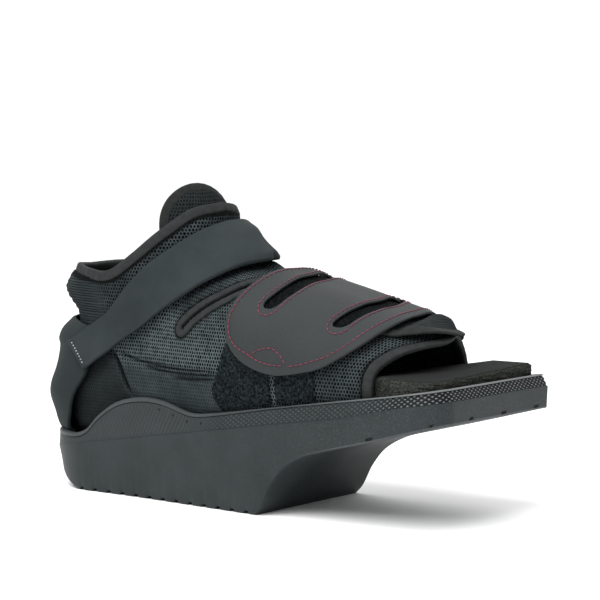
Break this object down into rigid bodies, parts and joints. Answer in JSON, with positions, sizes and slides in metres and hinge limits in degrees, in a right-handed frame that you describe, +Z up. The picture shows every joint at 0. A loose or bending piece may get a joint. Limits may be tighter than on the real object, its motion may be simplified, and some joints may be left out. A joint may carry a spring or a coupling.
{
  "type": "postoperative shoe",
  "caption": "Right forefoot-relief postoperative shoe: wedge sole cut away under the toes, mesh upper, broad forefoot flap, ankle and heel straps, open toe.",
  "frame": {"origin": "on the floor, at the middle of the heel block's ground contact", "axes": "+X from the heel to the toe, +Y towards the big-toe side, +Z up"},
  "size_m": [0.2859, 0.1067, 0.168],
  "materials": {
    "sole": "matt moulded foam rubber, knurled below the rim",
    "footbed": "coarse cut foam",
    "mesh": "padded air mesh",
    "binding": "smooth folded tape",
    "strap": "smooth synthetic leather",
    "flap": "smooth synthetic leather with crimson stitching",
    "loop": "fuzzy loop pile"
  },
  "bodies": {
    "root": {"sole": "sole", "footbed": "footbed", "upper": "mesh", "collar_binding": "binding", "toe_binding": "binding", "slit_binding": "binding", "tongue": "mesh", "tongue_binding": "binding", "heel_strap": "strap", "ankle_strap": "strap", "forefoot_cover": "mesh", "cover_binding": "binding", "loop_patch_rear": "loop", "loop_patch_front": "loop", "flap_backing": "loop", "forefoot_flap": "flap"}
  },
  "joints": []
}
